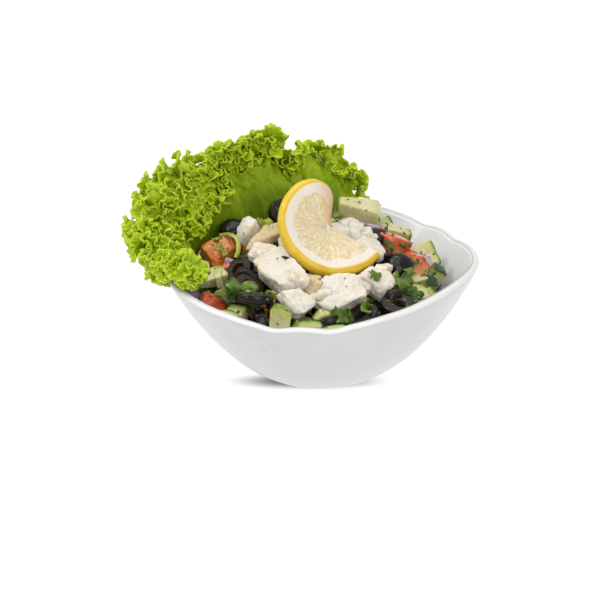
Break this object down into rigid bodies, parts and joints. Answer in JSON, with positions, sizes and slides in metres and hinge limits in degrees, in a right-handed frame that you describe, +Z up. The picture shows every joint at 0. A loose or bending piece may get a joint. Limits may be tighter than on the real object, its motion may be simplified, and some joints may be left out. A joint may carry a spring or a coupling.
{
  "type": "greek salad in a bowl",
  "caption": "Mixed salad heaped in a wavy-rimmed porcelain bowl, with feta, olive rings, tomato, cucumber, a frilly lettuce leaf and a twisted lemon slice on top.",
  "frame": {"origin": "centre of the foot's flat underside, on the table, on the bowl's axis", "axes": "+Z up, -Y towards the front where the salad is served from, +X to the right, away from the lettuce leaf"},
  "size_m": [0.1957, 0.1817, 0.1238],
  "materials": {
    "porcelain": "glossy white glaze",
    "mixed_salad": "chopped salad, moist",
    "lettuce": "fresh green leaf, slightly waxy",
    "lemon": "waxy yellow rind, wet flesh",
    "feta": "crumbly white cheese",
    "tomato": "wet red cuts with skin",
    "olive": "dark oily skin",
    "cucumber": "wet pale flesh, dark green rind",
    "onion": "translucent purple layer"
  },
  "bodies": {
    "root": {"bowl": "porcelain", "salad_heap": "mixed_salad", "lettuce_leaf": "lettuce", "lemon_slice": "lemon", "feta_upright": "feta", "feta_slab": "feta", "feta_shoulder": "feta", "feta_wedge": "feta", "feta_front": "feta", "feta_cream": "feta", "feta_broad": "feta", "feta_corner": "feta", "feta_back": "feta", "feta_side": "feta", "tomato_left": "tomato", "tomato_front_left": "tomato", "tomato_right": "tomato", "tomato_far_right": "tomato", "olive_back": "olive", "olive_left": "olive", "olive_left_low": "olive", "olive_flat": "olive", "olive_edge": "olive", "olive_front": "olive", "olive_tilted": "olive", "olive_ring": "olive", "olive_under_feta": "olive", "olive_behind_feta": "olive", "olive_end_left": "olive", "olive_end_right": "olive", "cucumber_slab": "cucumber", "cucumber_back": "cucumber", "cucumber_stick": "cucumber", "cucumber_rind_cube": "cucumber", "cucumber_rind_edge": "cucumber", "cucumber_right": "cucumber", "cucumber_thin": "cucumber", "cucumber_block": "cucumber", "cucumber_front_left": "cucumber", "cucumber_sliver": "cucumber", "cucumber_left": "cucumber", "onion_layer": "onion"}
  },
  "joints": []
}
